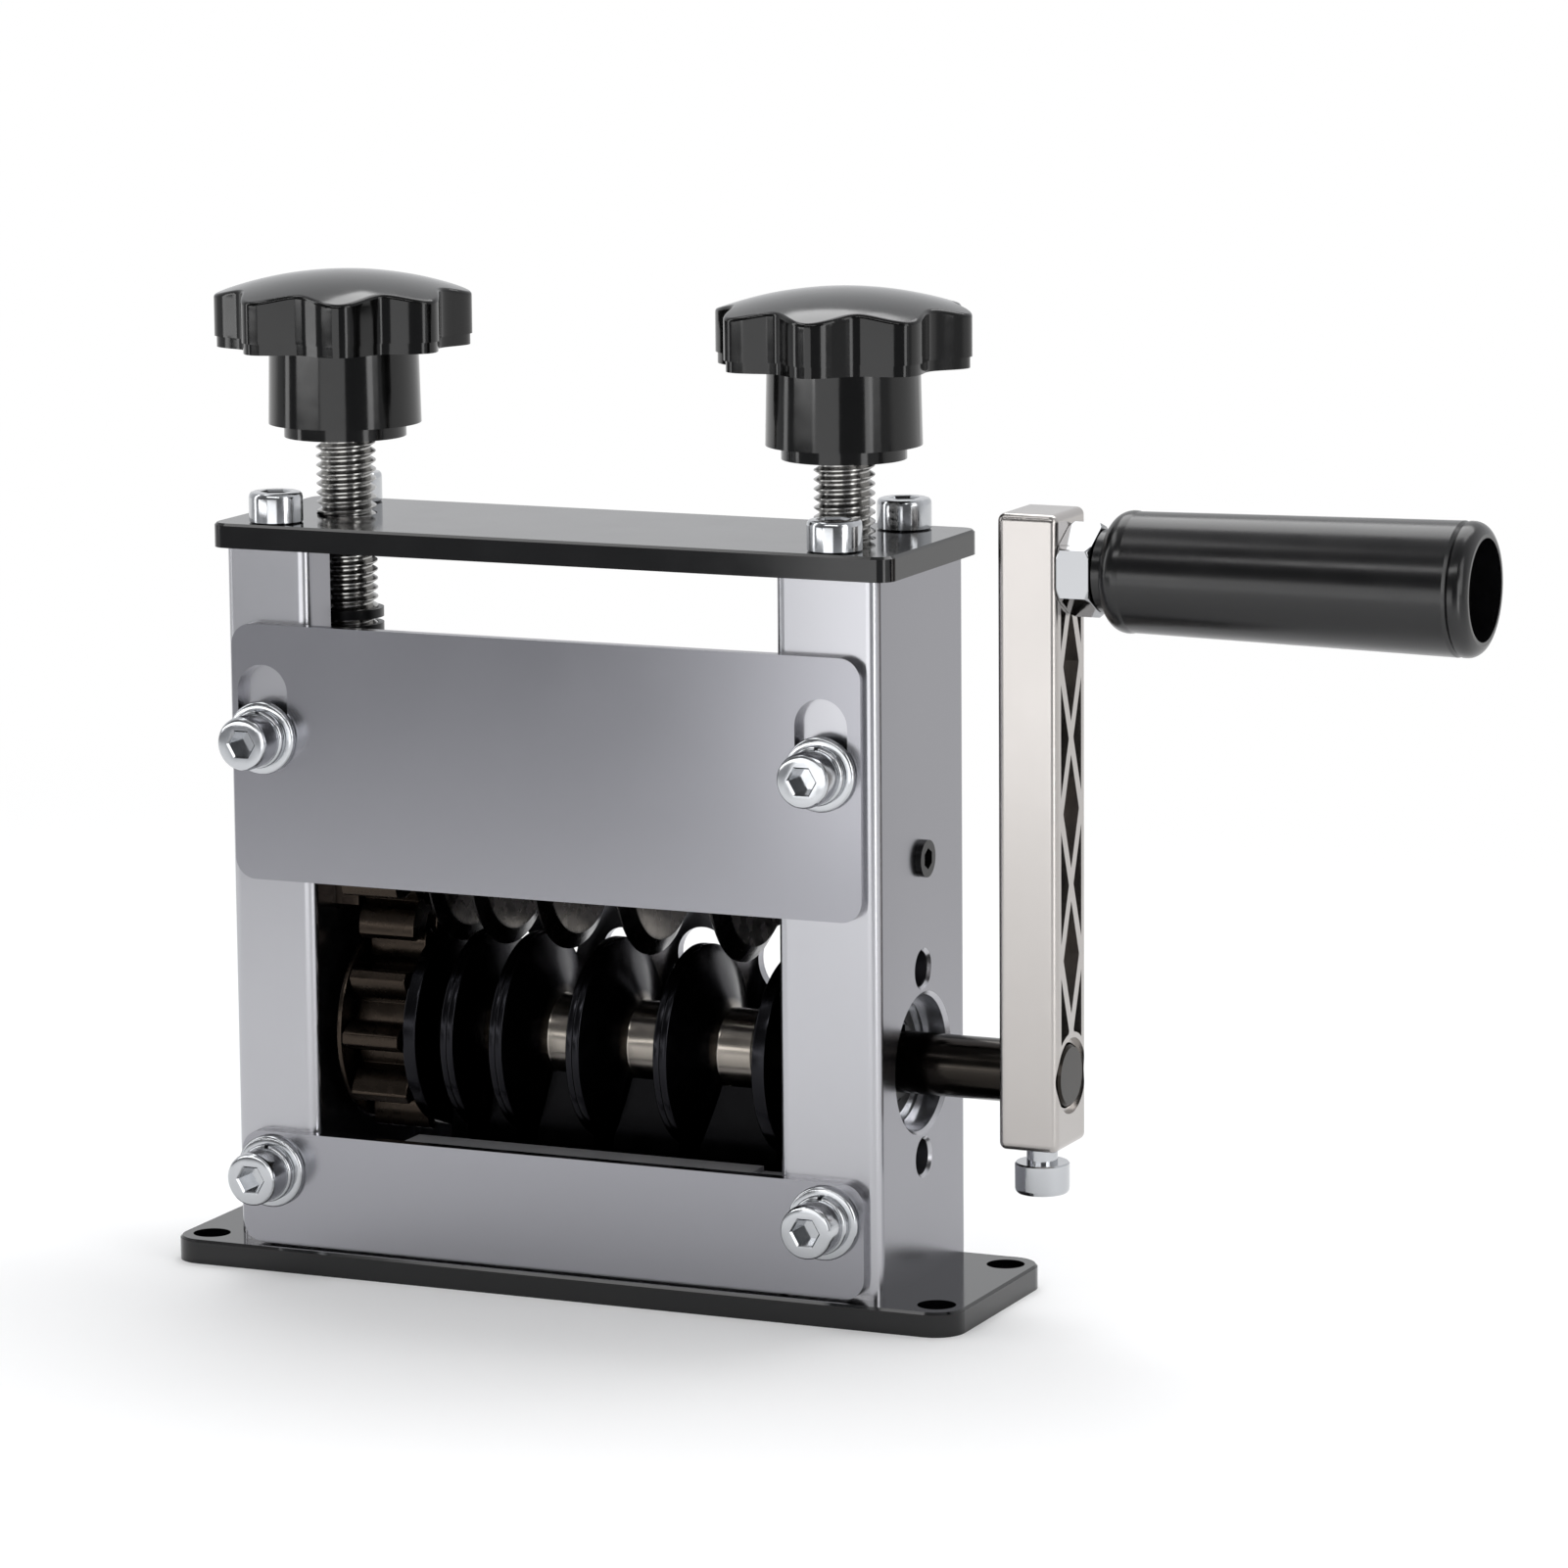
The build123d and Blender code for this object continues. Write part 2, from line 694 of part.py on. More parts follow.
def drive_circlip(opening):
    """Snap ring in a groove of the shaft, outside the bearing."""
    inner = shaft_r - circlip_deep
    clip = ring_x(inner + circlip_wall, inner, bearing_out, bearing_out + circlip_h, shaft_z)
    if opening:
        half = opening / 2
        clip -= block(bearing_out - 1, bearing_out + 2, -half, half, shaft_z, shaft_z + 3 * inner)
    return clip


def drive_sleeves():
    left = ring_x(sleeve_r, shaft_r, -bearing_in, gear_x - gear_flange_gap - gear_flange_h, shaft_z)
    right = ring_x(sleeve_r, shaft_r, roller_end, bearing_in, shaft_z)
    return left, right


def cutter_shaft():
    half = block_x1 - cutter_end_gap
    shaft = rod_x(shaft_r, -half, half, z=cutter_z)
    shaft = chamfer(shaft.edges(), plate_bevel)
    return shaft - shaft_key(gear_x, roller_end, cutter_z)


def blade(i):
    """Round knife: a flat disc ground from both sides to a narrow edge."""
    half = blade_thicknesses[i] / 2
    face_r = blade_r - blade_bevel
    section = [(-half, 0), (-half, face_r), (-blade_edge / 2, blade_r), (blade_edge / 2, blade_r),
               (half, face_r), (half, 0)]
    disc = turned_x([(groove_xs[i] + x, r) for x, r in section], cutter_z)
    return keyed(disc, groove_xs[i] - half, groove_xs[i] + half, cutter_z)


def cutter_spacers():
    faces = [gear_x + gear_width]
    for x, t in zip(groove_xs, blade_thicknesses):
        faces += [x - t / 2, x + t / 2]
    faces.append(block_x0 - free_gap)
    spacers = []
    for x0, x1 in zip(faces[0::2], faces[1::2]):
        spacers.append(keyed(rod_x(spacer_r, x0, x1, z=cutter_z), x0, x1, cutter_z))
    return spacers


# ---------------------------------------------------------------- press carriage

def bearing_block():
    """Right-hand block: a bore for the bush, and a T-slot on top that holds the press screw."""
    body = block(block_x0, block_x1, -block_half, block_half, block_z0, block_z1)
    body = chamfer(body.edges().filter_by(Axis.X), block_bevel)
    body -= rod_x(bush_r, block_x0 - 1, block_x1 + 1, z=cutter_z)
    foot_half = press_foot_r + free_gap
    neck_half = press_neck_r + free_gap
    foot_low = press_foot_z - free_gap
    foot_high = press_foot_z + press_foot_h + free_gap
    for half, z0, z1 in ((foot_half, foot_low, foot_high), (neck_half, foot_high, block_z1 + 1)):
        body -= block(block_x0 - 1, press_x, -half, half, z0, z1)
        body -= rod_z(half, z0, z1, press_x)
    return body


def bearing_bushes():
    return both_sides(ring_x(bush_r, shaft_r + running_gap, block_x0, block_x1, cutter_z))


def press_screw(x):
    screw = rod_z(press_foot_r, press_foot_z, press_foot_z + press_foot_h, x)
    neck_z = press_foot_z + press_foot_h
    screw += rod_z(press_neck_r, neck_z, block_z1 + free_gap, x)
    return screw + rod_z(press_r, block_z1 + free_gap, hub_z + knob_thread_deep, x)


def stop_rings(x):
    rings = []
    for k in range(2):
        z = stop_ring_z - k * (stop_ring_h + stop_ring_gap) - stop_ring_h
        ring = rod_z(stop_ring_r, z, z + stop_ring_h, x) - rod_z(press_r, z - 1, z + 9, x)
        rings.append(ring)
    return rings


def knob_outline(inset):
    """Rim of the knob: a smooth closed wave of eight lobes."""
    middle = (knob_r + knob_valley_r) / 2 - inset
    swing = (knob_r - knob_valley_r) / 2
    points = []
    for k in range(knob_lobes * knob_outline_points):
        angle = 2 * pi * k / (knob_lobes * knob_outline_points)
        r = middle + swing * cos(knob_lobes * angle)
        points.append((r * cos(angle), r * sin(angle)))
    return make_face(Spline(*points, periodic=True))


def knob(x, turn):
    """Moulded star knob with a tapered hub, a lobed rim and a shallow dome."""
    rim = Pos(0, 0, rim_z) * extrude(knob_outline(knob_step_in), knob_step_h)
    rim += Pos(0, 0, rim_z + knob_step_h) * extrude(knob_outline(0), knob_rim_h + knob_dome_h)
    apex_z = rim_z + knob_rim_h + knob_dome_h
    dome_r = (knob_r ** 2 + knob_dome_h ** 2) / (2 * knob_dome_h)
    rim &= Pos(0, 0, apex_z - dome_r) * Sphere(dome_r)
    top = rim.faces().sort_by(Axis.Z)[-1]
    rim = fillet(top.edges(), knob_edge_round)
    hub = turned_z([(0, knob_z), (knob_collar_r, knob_z), (knob_collar_r, hub_z),
                    (knob_hub_r, hub_z), (knob_hub_top_r, rim_z), (0, rim_z)])
    whole = Rot(0, 0, turn) * (rim + hub)
    return Pos(x, 0, 0) * whole - rod_z(press_r, knob_z - 1, hub_z + knob_thread_deep, x)


# ---------------------------------------------------------------- crank and handle

def lattice():
    """X-shaped ribs of the arm, crossing in the middle and meeting on the pocket's walls."""
    half = arm_width / 2 - pocket_wall
    length = hypot(2 * half, lattice_pitch) + 2 * lattice_rib
    lean = degrees(atan(2 * half / lattice_pitch))
    middle = (shaft_z + handle_z) / 2 + lattice_up
    ribs = []
    for k in (-1.5, -0.5, 0.5, 1.5):
        z = middle + k * lattice_pitch
        for side in (-1, 1):
            rib = Rot(side * lean, 0, 0) * Box(pocket_deep, lattice_rib, length)
            ribs.append(Pos(arm_x1 - pocket_deep / 2, 0, z) * rib)
    return ribs


def crank_arm():
    half = arm_width / 2
    arm = block(arm_x0, arm_x1, -half, half, arm_z0, arm_z1)
    arm = fillet(arm.edges(), arm_round)
    floor_x = arm_x1 - pocket_deep
    pocket = block(floor_x, arm_x1 + 1, pocket_wall - half, half - pocket_wall, shaft_z, handle_z)
    for z in (shaft_z, handle_z):
        pocket -= rod_x(arm_boss_r, floor_x - 1, arm_x1 + 2, z=z)
    for rib in lattice():
        pocket -= rib
    arm -= pocket
    arm -= rod_x(shaft_r + arm_bore_gap, arm_x0 - 1, arm_x1 + 1, z=shaft_z)
    arm -= rod_x(arm_mouth_r, arm_x1 - arm_mouth_deep, arm_x1 + 1, z=shaft_z)
    arm -= rod_x(axle_r, arm_x0 + arm_skin, arm_x1 + 1, z=handle_z)
    clamp_x = (arm_x0 + arm_x1) / 2
    return arm - rod_z(screw_r, arm_z0 - 1, shaft_z, clamp_x)


def clamp_screw():
    """Screw up through the arm's foot, its point on the shaft."""
    x = (arm_x0 + arm_x1) / 2
    length = shaft_z - shaft_r - arm_z0 + clamp_screw_proud
    return Pos(x, 0, arm_z0 - clamp_screw_proud) * Rot(180, 0, 0) * cap_screw(length)


def handle_nut():
    hexagon = RegularPolygon(nut_af / 2, 6, major_radius=False)
    nut = Pos(arm_x1, 0, handle_z) * Rot(0, 90, 0) * extrude(hexagon, nut_h)
    low = arm_x1 + nut_cone_h
    high = nut_x1 - nut_cone_h
    cone = turned_x([(arm_x1, 0), (arm_x1, nut_face_r), (low, nut_corner_r),
                     (high, nut_corner_r), (nut_x1, nut_face_r), (nut_x1, 0)], handle_z)
    return (nut & cone) - rod_x(axle_r, arm_x1 - 1, nut_x1 + 1, z=handle_z)


def handle_bolt():
    length = axle_head_x - arm_x0 - arm_skin
    bolt = cap_screw(length, axle_r, axle_head_r, axle_head_h, axle_socket_af)
    return Pos(axle_head_x, 0, handle_z) * Rot(0, 90, 0) * bolt


def handle_washer():
    return ring_x(axle_head_r, axle_r, recess_x + free_gap, axle_head_x, handle_z)


def handle_grip():
    """Turned grip that spins on its bolt, hollow at the outer end."""
    bead_x = grip_x1 - grip_bead
    body_x = grip_x0 + grip_neck_h
    end_r = grip_recess_r + grip_lip
    shoulder_x = body_x + grip_shoulder
    before = bead_x - grip_bead_half
    after = bead_x + grip_bead_half
    outline = [
        Line((grip_x0, 0, 0), (grip_x0, 0, grip_neck_r)),
        Line((grip_x0, 0, grip_neck_r), (body_x, 0, grip_neck_r)),
        ThreePointArc((body_x, 0, grip_neck_r),
                      (body_x + 0.9, 0, grip_small_r - 0.8),
                      (shoulder_x, 0, grip_small_r)),
        Line((shoulder_x, 0, grip_small_r), (before, 0, grip_big_r)),
        Line((before, 0, grip_big_r), (bead_x, 0, grip_big_r - grip_bead_groove)),
        Line((bead_x, 0, grip_big_r - grip_bead_groove), (after, 0, grip_big_r)),
        Line((after, 0, grip_big_r), (grip_x1 - grip_end_round, 0, grip_big_r)),
        ThreePointArc((grip_x1 - grip_end_round, 0, grip_big_r),
                      (grip_x1 - 0.3 * grip_end_round, 0, grip_big_r - 0.25 * grip_end_round),
                      (grip_x1, 0, end_r)),
        Line((grip_x1, 0, end_r), (grip_x1, 0, 0)),
        Line((grip_x1, 0, 0), (grip_x0, 0, 0)),
    ]
    grip = Pos(0, 0, handle_z) * revolve(make_face(outline), Axis.X)
    grip -= rod_x(axle_r + running_gap, grip_x0 - 1, grip_x1 + 1, z=handle_z)
    return grip - rod_x(grip_recess_r, recess_x, grip_x1 + 1, z=handle_z)


# ---------------------------------------------------------------- the nodes

def write_frame():
    put("base_plate", base_plate())
    put("left_upright", mirror(upright(inner_x), Plane.YZ))
    put("right_upright", upright(crank_inner_x))
    put("top_plate", top_plate())
    put("lower_cover", lower_cover())
    put("upper_guard", upper_guard())
    put("rear_guide_plate", rear_guide_plate())
    put("cross_bar", cross_bar())
    put("scraper_comb", scraper_comb())
    screw = countersunk_screw(base_thick + base_screw_bite)
    put("base_screws", *[Pos(x, y, 0) * screw for x, y in base_screw_places()])
    put("comb_screws", *[Pos(x, y, 0) * screw for x, y in comb_screw_places()])
    put("top_plate_screws", *top_plate_screws())
    put("rear_plate_screws", *rear_plate_screws())
    for cover, z in (("cover", lower_bolt_z), ("guard", guard_bolt_z)):
        flats, springs, screws = front_stack(z)
        put(cover + "_flat_washers", *flats)
        put(cover + "_spring_washers", *springs)
        put(cover + "_screws", *screws)
    put("grub_screws", *grub_screws())
    put("bearing_outer_rings", *bearing_outer_rings())
    put("bearing_seals", *bearing_seals())
    put("bore_circlips", *bore_circlips())


def write_drive():
    left_sleeve, right_sleeve = drive_sleeves()
    put("drive_shaft", drive_shaft())
    put("drive_key", shaft_key(gear_x, roller_end, shaft_z))
    put("drive_gear", flanged_drive_gear())
    put("left_drive_sleeve", left_sleeve)
    put("right_drive_sleeve", right_sleeve)
    put("drive_circlips", *both_sides(drive_circlip(snap_ring_open)))
    put("bearing_inner_rings", *bearing_inner_rings())
    for i in range(5):
        put(f"feed_wheel_{i + 1}", feed_wheel(i))
    put("crank_arm", crank_arm())
    put("clamp_screw", clamp_screw())
    put("handle_nut", handle_nut())
    put("handle_bolt", handle_bolt())
    put("handle_washer", handle_washer())
    put("handle_grip", handle_grip())


def write_cutter():
    put("cutter_shaft", cutter_shaft())
    put("cutter_key", shaft_key(gear_x, roller_end, cutter_z))
    put("cutter_gear", placed_gear(-90, cutter_z))
    put("cutter_spacers", *cutter_spacers())
    for i in range(5):
        put(f"blade_{i + 1}", blade(i))


def write_press():
    right = bearing_block()
    put("left_bearing_block", mirror(right, Plane.YZ))
    put("right_bearing_block", right)
    put("bearing_bushes", *bearing_bushes())
    for side, x, turn in (("left", -press_x, knob_turns[0]), ("right", press_x, knob_turns[1])):
        put(side + "_press_screw", press_screw(x))
        put(side + "_stop_rings", *stop_rings(x))
        put(side + "_knob", knob(x, turn))


os.makedirs("parts", exist_ok=True)
write_frame()
write_drive()
write_cutter()
write_press()
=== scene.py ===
from math import pi, radians

import bmesh
import bpy
from mathutils import Matrix, Vector


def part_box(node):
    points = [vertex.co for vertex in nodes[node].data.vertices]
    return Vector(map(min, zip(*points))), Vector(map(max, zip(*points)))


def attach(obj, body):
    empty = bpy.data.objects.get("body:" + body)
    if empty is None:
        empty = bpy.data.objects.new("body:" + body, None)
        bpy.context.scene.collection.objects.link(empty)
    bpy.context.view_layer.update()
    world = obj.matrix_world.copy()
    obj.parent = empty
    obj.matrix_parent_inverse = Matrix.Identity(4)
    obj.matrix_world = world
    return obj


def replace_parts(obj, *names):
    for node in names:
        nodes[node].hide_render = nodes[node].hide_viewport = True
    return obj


# Hand crank wire stripper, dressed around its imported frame. The frame is in metres, +X along the
# rollers to the crank, +Z up, and the origin is the middle of the base plate's underside.
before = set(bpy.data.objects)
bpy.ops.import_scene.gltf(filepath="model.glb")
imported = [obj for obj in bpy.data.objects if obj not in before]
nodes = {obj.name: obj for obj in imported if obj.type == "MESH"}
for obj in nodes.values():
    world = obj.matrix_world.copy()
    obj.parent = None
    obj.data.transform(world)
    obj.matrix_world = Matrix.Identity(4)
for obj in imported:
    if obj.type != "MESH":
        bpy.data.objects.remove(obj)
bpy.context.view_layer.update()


# ---------------------------------------------------------------- camera
# A long lens a metre away, a little above the work and to the crank's side, as in the photograph.
# Its place is solved from the photograph, and the roll is the photograph's own slight tilt.
azimuth = radians(23.973)
elevation = radians(9.765)
roll = radians(-0.479)
distance = 1.089189
target = Vector((0.032009, 0.002, 0.082783))

camera = bpy.data.objects.new("camera", bpy.data.cameras.new("camera"))
bpy.context.scene.collection.objects.link(camera)
turn = (Matrix.Rotation(azimuth, 4, "Z") @ Matrix.Rotation(pi / 2 - elevation, 4, "X")
        @ Matrix.Rotation(roll, 4, "Z"))
camera.matrix_world = Matrix.Translation(target + distance * turn.col[2].to_3d()) @ turn
camera.data.sensor_width = 36
camera.data.lens = 156.145
camera.data.clip_start = 0.05
bpy.context.scene.camera = camera


# ---------------------------------------------------------------- floor, surround and light
# Graded paper, pale grey in front of the work and plain white behind it, in a surround that is
# dimmer in front. Soft boxes at a plain level hang above and stand at each side, with three small
# ones low in front that the plated pieces reflect.
def linear(colour):
    """An sRGB hex colour as the linear RGBA that the shaders take."""
    channels = [int(colour[i:i + 2], 16) / 255 for i in (1, 3, 5)]
    return [c / 12.92 if c <= 0.04045 else ((c + 0.055) / 1.055) ** 2.4 for c in channels] + [1]


def add(tree, kind, inputs=(), **settings):
    """Add a shader node: settings are its own, inputs are values or sockets by name or number."""
    made = tree.nodes.new(kind)
    for name, value in settings.items():
        setattr(made, name, value)
    for key, value in dict(inputs).items():
        if isinstance(value, bpy.types.NodeSocket):
            tree.links.new(value, made.inputs[key])
        else:
            made.inputs[key].default_value = value
    return made


# The two colours and the result of a Mix node, which shares their names with its other kinds.
FIRST = 6
SECOND = 7
MIXED = 2

world = bpy.data.worlds.new("pale surround")
world.use_nodes = True
bpy.context.scene.world = world
sky = world.node_tree
sky.nodes.clear()
direction = add(sky, "ShaderNodeTexCoord")
parts = add(sky, "ShaderNodeSeparateXYZ", {"Vector": direction.outputs["Generated"]})
bright = add(sky, "ShaderNodeMapRange", {"Value": parts.outputs["Y"], "From Min": -0.7, "From Max": 0.5,
                                         "To Min": 0.16, "To Max": 0.9})
lit_sky = add(sky, "ShaderNodeBackground", {"Color": linear("#f7f8fa"), "Strength": bright.outputs[0]})
add(sky, "ShaderNodeOutputWorld", {"Surface": lit_sky.outputs[0]})

half_floor = 6.0
floor_mesh = bpy.data.meshes.new("floor")
bm = bmesh.new()
bmesh.ops.create_grid(bm, x_segments=1, y_segments=1, size=half_floor)
bm.to_mesh(floor_mesh)
bm.free()
floor = bpy.data.objects.new("floor", floor_mesh)
bpy.context.scene.collection.objects.link(floor)
floor_paint = bpy.data.materials.new("matt white paper")
floor_paint.use_nodes = True
paper = floor_paint.node_tree
lit = paper.nodes["Principled BSDF"]
lit.inputs["Roughness"].default_value = 0.9
place = add(paper, "ShaderNodeTexCoord").outputs["Object"]
depth = add(paper, "ShaderNodeSeparateXYZ", {"Vector": place}).outputs["Y"]
behind = add(paper, "ShaderNodeMapRange", {"Value": depth, "From Min": 0.0, "From Max": 0.45},
             interpolation_type="SMOOTHSTEP")
in_front = add(paper, "ShaderNodeMapRange", {"Value": depth, "From Min": -0.2, "From Max": -0.6},
               interpolation_type="SMOOTHSTEP")
graded = add(paper, "ShaderNodeMix", {0: in_front.outputs[0], FIRST: linear("#f7f7f7"),
                                      SECOND: linear("#b4b5b7")}, data_type="RGBA")
paper.links.new(graded.outputs[MIXED], lit.inputs["Base Color"])
path = add(paper, "ShaderNodeLightPath")
seen = path.outputs["Is Camera Ray"]
for kind in ("Is Glossy Ray", "Is Transmission Ray"):
    seen = add(paper, "ShaderNodeMath", {0: seen, 1: path.outputs[kind]}, operation="MAXIMUM").outputs[0]
share = add(paper, "ShaderNodeMath", {0: behind.outputs[0], 1: seen}, operation="MULTIPLY")
white = add(paper, "ShaderNodeEmission", {"Color": linear("#ffffff"), "Strength": 1.0})
faded = add(paper, "ShaderNodeMixShader", {0: share.outputs[0], 1: lit.outputs[0], 2: white.outputs[0]})
paper.links.new(faded.outputs[0], paper.nodes["Material Output"].inputs["Surface"])
floor_mesh.materials.append(floor_paint)


def soft_box(name, place, aim, width, height, power):
    """A soft box of a given size in metres, turned towards a point and not seen itself."""
    data = bpy.data.lights.new(name, "AREA")
    data.shape = "RECTANGLE"
    data.size = width
    data.size_y = height
    data.energy = power
    made = bpy.data.objects.new(name, data)
    bpy.context.scene.collection.objects.link(made)
    away = Vector(place) - Vector(aim)
    made.matrix_world = Matrix.Translation(place) @ away.to_track_quat("Z", "Y").to_matrix().to_4x4()
    made.visible_camera = False


soft_box("overhead box", (0.05, 0.35, 0.75), (0.02, 0.03, 0.06), 0.8, 0.5, 3.6)
soft_box("front top box", (0.12, -0.6, 0.62), (0.05, 0, 0.1), 0.7, 0.08, 1.0)
soft_box("top left box", (-0.32, -0.15, 0.75), (0, 0, 0.1), 0.4, 0.2, 0.6)
soft_box("left box", (-0.7, -0.25, 0.35), (0, 0, 0.08), 0.12, 0.7, 0.8)
soft_box("right box", (0.85, -0.3, 0.4), (0, 0, 0.08), 0.3, 0.7, 1.4)
soft_box("low front card", (0.02, -0.36, 0.08), (0.02, 0, 0.08), 0.26, 0.14, 0.2)
soft_box("low left strip", (-0.34, -0.5, 0.12), (0, 0, 0.08), 0.4, 0.04, 0.22)
soft_box("low right card", (0.34, -0.17, 0.1), (0.06, 0, 0.08), 0.07, 0.2, 0.14)


# ---------------------------------------------------------------- gloss black plates
# Base plate and top plate: laser cut 4 mm steel, powder coated gloss black, screwed to the
# uprights. The coat lies over the cut edges and has a faint orange peel, which ripples reflections.
MM = 0.001


def finish(name, colour, metallic, roughness, **sockets):
    """A material on a Principled shader; sockets are constants set on the shader itself."""
    made = bpy.data.materials.new(name)
    made.use_nodes = True
    shader = made.node_tree.nodes["Principled BSDF"]
    values = {"Base Color": linear(colour), "Metallic": metallic, "Roughness": roughness}
    values.update({key.replace("_", " "): value for key, value in sockets.items()})
    for key, value in values.items():
        shader.inputs[key].default_value = value
    return made


def object_place(tree, stretch=(1, 1, 1)):
    """Object coordinates in millimetres, stretched along an axis for a drawn or brushed grain."""
    place = add(tree, "ShaderNodeTexCoord").outputs["Object"]
    scale = [share / MM for share in stretch]
    return add(tree, "ShaderNodeMapping", {"Vector": place, "Scale": scale}).outputs[0]


def grain(made, size_mm, height_mm, stretch=(1, 1, 1), detail=3.0):
    """A bump of a given grain and height in millimetres."""
    tree = made.node_tree
    shader = tree.nodes["Principled BSDF"]
    noise = add(tree, "ShaderNodeTexNoise", {"Vector": object_place(tree, stretch), "Scale": 1 / size_mm,
                                             "Detail": detail, "Roughness": 0.55})
    bump = add(tree, "ShaderNodeBump", {"Height": noise.outputs[0], "Distance": height_mm * MM})
    tree.links.new(bump.outputs[0], shader.inputs["Normal"])


def vary(made, socket, size_mm, low, high):
    """Let a value drift between two levels over the surface. The noise seldom leaves 0.3 to 0.7."""
    tree = made.node_tree
    noise = add(tree, "ShaderNodeTexNoise", {"Vector": object_place(tree), "Scale": 1 / size_mm,
                                             "Detail": 4.0})
    spread = add(tree, "ShaderNodeMapRange", {"Value": noise.outputs[0], "From Min": 0.3, "From Max": 0.7,
                                              "To Min": low, "To Max": high})
    tree.links.new(spread.outputs[0], tree.nodes["Principled BSDF"].inputs[socket])


def paint(material, *names):
    """Give CAD nodes one material."""
    for name in names:
        nodes[name].data.materials.clear()
        nodes[name].data.materials.append(material)


powder_coat = finish("gloss black powder coat on steel", "#050506", 0.0, 0.1)
grain(powder_coat, 2.5, 0.002, detail=1.0)
vary(powder_coat, "Roughness", 9.0, 0.08, 0.13)
paint(powder_coat, "base_plate", "top_plate")


# ---------------------------------------------------------------- uprights, covers and bars
# Milled uprights and 2 mm covers, satin nickel plated: a soft mirror in which reflections fade
# slowly. The uprights' sides carry painted shade, a darker colour on the faces that look left or
# right, and the bar is sawn and dull. Screws hold them all to each other and to the plates.
def blast_sides(made, plated, painted_side_shade):
    """Painted shade: darken the colour of the faces that look left or right."""
    tree = made.node_tree
    normal = add(tree, "ShaderNodeTexCoord").outputs["Normal"]
    facing = add(tree, "ShaderNodeSeparateXYZ", {"Vector": normal})
    sideways = add(tree, "ShaderNodeMath", {0: facing.outputs["X"]}, operation="ABSOLUTE")
    share = add(tree, "ShaderNodeMapRange", {"Value": sideways.outputs[0], "From Min": 0.85,
                                             "From Max": 0.99})
    tone = add(tree, "ShaderNodeMix", {0: share.outputs[0], FIRST: linear(plated),
                                       SECOND: linear(painted_side_shade)}, data_type="RGBA")
    tree.links.new(tone.outputs[MIXED], tree.nodes["Principled BSDF"].inputs["Base Color"])


nickel = finish("satin nickel plate on milled steel", "#b2b2b6", 1.0, 0.22)
vary(nickel, "Roughness", 30.0, 0.2, 0.25)
# Painted shade: the uprights' sides are coloured darker than their fronts.
blast_sides(nickel, "#b2b2b6", "#8c8c91")
paint(nickel, "left_upright", "right_upright")
dull_nickel = finish("nickel plate on sawn bar", "#dcdcdf", 1.0, 0.5)
grain(dull_nickel, 0.6, 0.01, stretch=(0.1, 1, 1))
paint(dull_nickel, "cross_bar")
sheet_nickel = finish("nickel plate on rolled sheet", "#98989d", 1.0, 0.2)
vary(sheet_nickel, "Roughness", 40.0, 0.17, 0.21)
paint(sheet_nickel, "lower_cover", "upper_guard", "rear_guide_plate")


# ---------------------------------------------------------------- screws and washers
# M5 socket head screws on split washers and flat washers, in bright plated steel. Heads and rims
# are rounded over and the sockets are cut for a 4 mm key, so each head has a bright ring round a
# dark hexagon. The smaller screws and the stop rings are black oxide, dull and a little oily.
same_point = 1e-7
round_steps = 48


def turned(bm, outline, centre):
    """Spin (radius, height) points in millimetres about a vertical line through centre."""
    points = [bm.verts.new((centre[0] + r * MM, centre[1], z * MM)) for r, z in outline]
    edges = [bm.edges.new(pair) for pair in zip(points, points[1:])]
    bmesh.ops.spin(bm, geom=points + edges, cent=centre, axis=(0, 0, 1), angle=2 * pi, steps=round_steps,
                   use_merge=True)


def piece(name, bm, material, body, smooth_below):
    """Close a bmesh into an object that rides on a body, smooth where it bends by fewer degrees."""
    bmesh.ops.remove_doubles(bm, verts=bm.verts, dist=same_point)
    bmesh.ops.recalc_face_normals(bm, faces=bm.faces)
    for edge in bm.edges:
        edge.smooth = edge.is_manifold and edge.calc_face_angle(0) < radians(smooth_below)
    for face in bm.faces:
        face.smooth = True
    mesh = bpy.data.meshes.new(name)
    bm.to_mesh(mesh)
    bm.free()
    made = bpy.data.objects.new(name, mesh)
    bpy.context.scene.collection.objects.link(made)
    mesh.materials.append(material)
    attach(made, body)
    return made


head_r = 4.4
head_h = 5.0
shank_r = 2.5
shank_chamfer = 0.5
mouth_r = 2.62
socket_r = 2.31
mouth_deep = 0.35
socket_deep = 2.4


